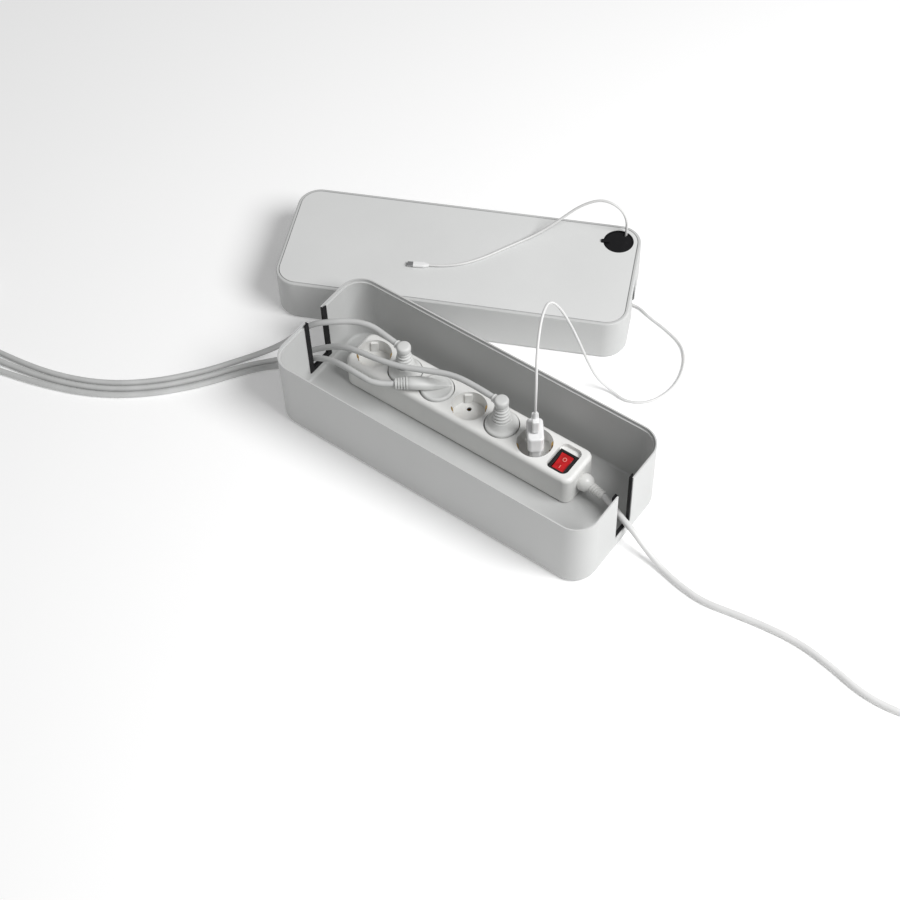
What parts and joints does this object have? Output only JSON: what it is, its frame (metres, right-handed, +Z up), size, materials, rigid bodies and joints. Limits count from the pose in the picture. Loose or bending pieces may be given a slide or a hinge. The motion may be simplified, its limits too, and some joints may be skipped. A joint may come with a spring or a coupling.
{
  "type": "desk cable box",
  "caption": "desk cable box with its deep lid taken off, holding a socket strip with plugs, a USB charger and cords led through slots in its ends",
  "frame": {"origin": "on the desk below the middle of the tray", "axes": "+X along the tray towards the strip's supply cord, +Y across the tray towards the taken-off lid, +Z up"},
  "size_m": [1.4028, 0.6612, 0.1791],
  "materials": {
    "shell": "fine matt moulded plastic, light grey",
    "pad": "matt inset mat, light grey",
    "black_rubber": "matt black lining",
    "outlet_black": "satin black",
    "strip_white": "satin white",
    "switch_black": "satin black",
    "switch_red": "clear red, lit from inside",
    "contact_brass": "spring brass",
    "pin_metal": "nickel plated",
    "screw_steel": "zinc plated",
    "plug_grey": "matt moulded, light grey",
    "charger_white": "gloss white",
    "usb_steel": "bright pressed steel",
    "cord_grey": "matt sheath, light grey",
    "cord_white": "smooth white sheath"
  },
  "bodies": {
    "tray": {"charger_body": "charger_white", "charger_pins": "pin_metal", "connector_a": "plug_grey", "connector_b": "plug_grey", "connector_c": "plug_grey", "cord_a": "cord_grey", "cord_a_coil": "cord_grey", "cord_b": "cord_grey", "cord_b_coil": "cord_grey", "cord_c": "cord_grey", "cord_c_coil": "cord_grey", "cover_screws": "screw_steel", "earth_rail": "contact_brass", "feet": "black_rubber", "live_bar": "contact_brass", "neutral_bar": "contact_brass", "plug_b_body": "plug_grey", "plug_b_pins": "pin_metal", "plug_b_relief": "plug_grey", "slot_trim_left": "black_rubber", "slot_trim_right": "black_rubber", "strip_base": "strip_white", "strip_cover": "strip_white", "strip_gland": "strip_white", "supply_cord": "cord_white", "supply_cord_coil": "cord_white", "supply_plug_body": "strip_white", "supply_plug_pins": "pin_metal", "switch_bezel": "switch_black", "tray_shell": "shell"},
    "lid": {"lid_shell": "shell", "lid_trim_left": "black_rubber", "lid_trim_right": "black_rubber", "lid_pad": "pad", "outlet_ring": "outlet_black", "usb_cord": "cord_white", "usb_grip": "charger_white", "usb_shell": "usb_steel", "phone_grip": "charger_white", "phone_tip": "usb_steel"},
    "outlet_cap": {"outlet_cap": "outlet_black"},
    "rocker": {"switch_rocker": "switch_red"},
    "plug_a": {"plug_a_body": "plug_grey", "plug_a_pins": "pin_metal"},
    "plug_c": {"plug_c_body": "plug_grey", "plug_c_pins": "pin_metal"}
  },
  "joints": [
    {"name": "lid_lift", "type": "slide", "parent": "tray", "child": "lid", "axis": [0, 0, 1], "range_m": [0, 0.08]},
    {"name": "outlet_cap_lift", "type": "slide", "parent": "lid", "child": "outlet_cap", "axis": [0, 0, 1], "range_m": [0, 0.012]},
    {"name": "switch_rock", "type": "hinge", "parent": "tray", "child": "rocker", "pos_m": [0.1115, 0.0235, 0.0375], "axis": [1, 0, 0], "range_deg": [-18, 0]},
    {"name": "plug_a_pull", "type": "slide", "parent": "tray", "child": "plug_a", "axis": [0, 0, 1], "range_m": [0, 0.036], "deforming": ["cord_a"]},
    {"name": "plug_c_pull", "type": "slide", "parent": "tray", "child": "plug_c", "axis": [0, 0, 1], "range_m": [0, 0.036], "deforming": ["cord_c"]}
  ]
}
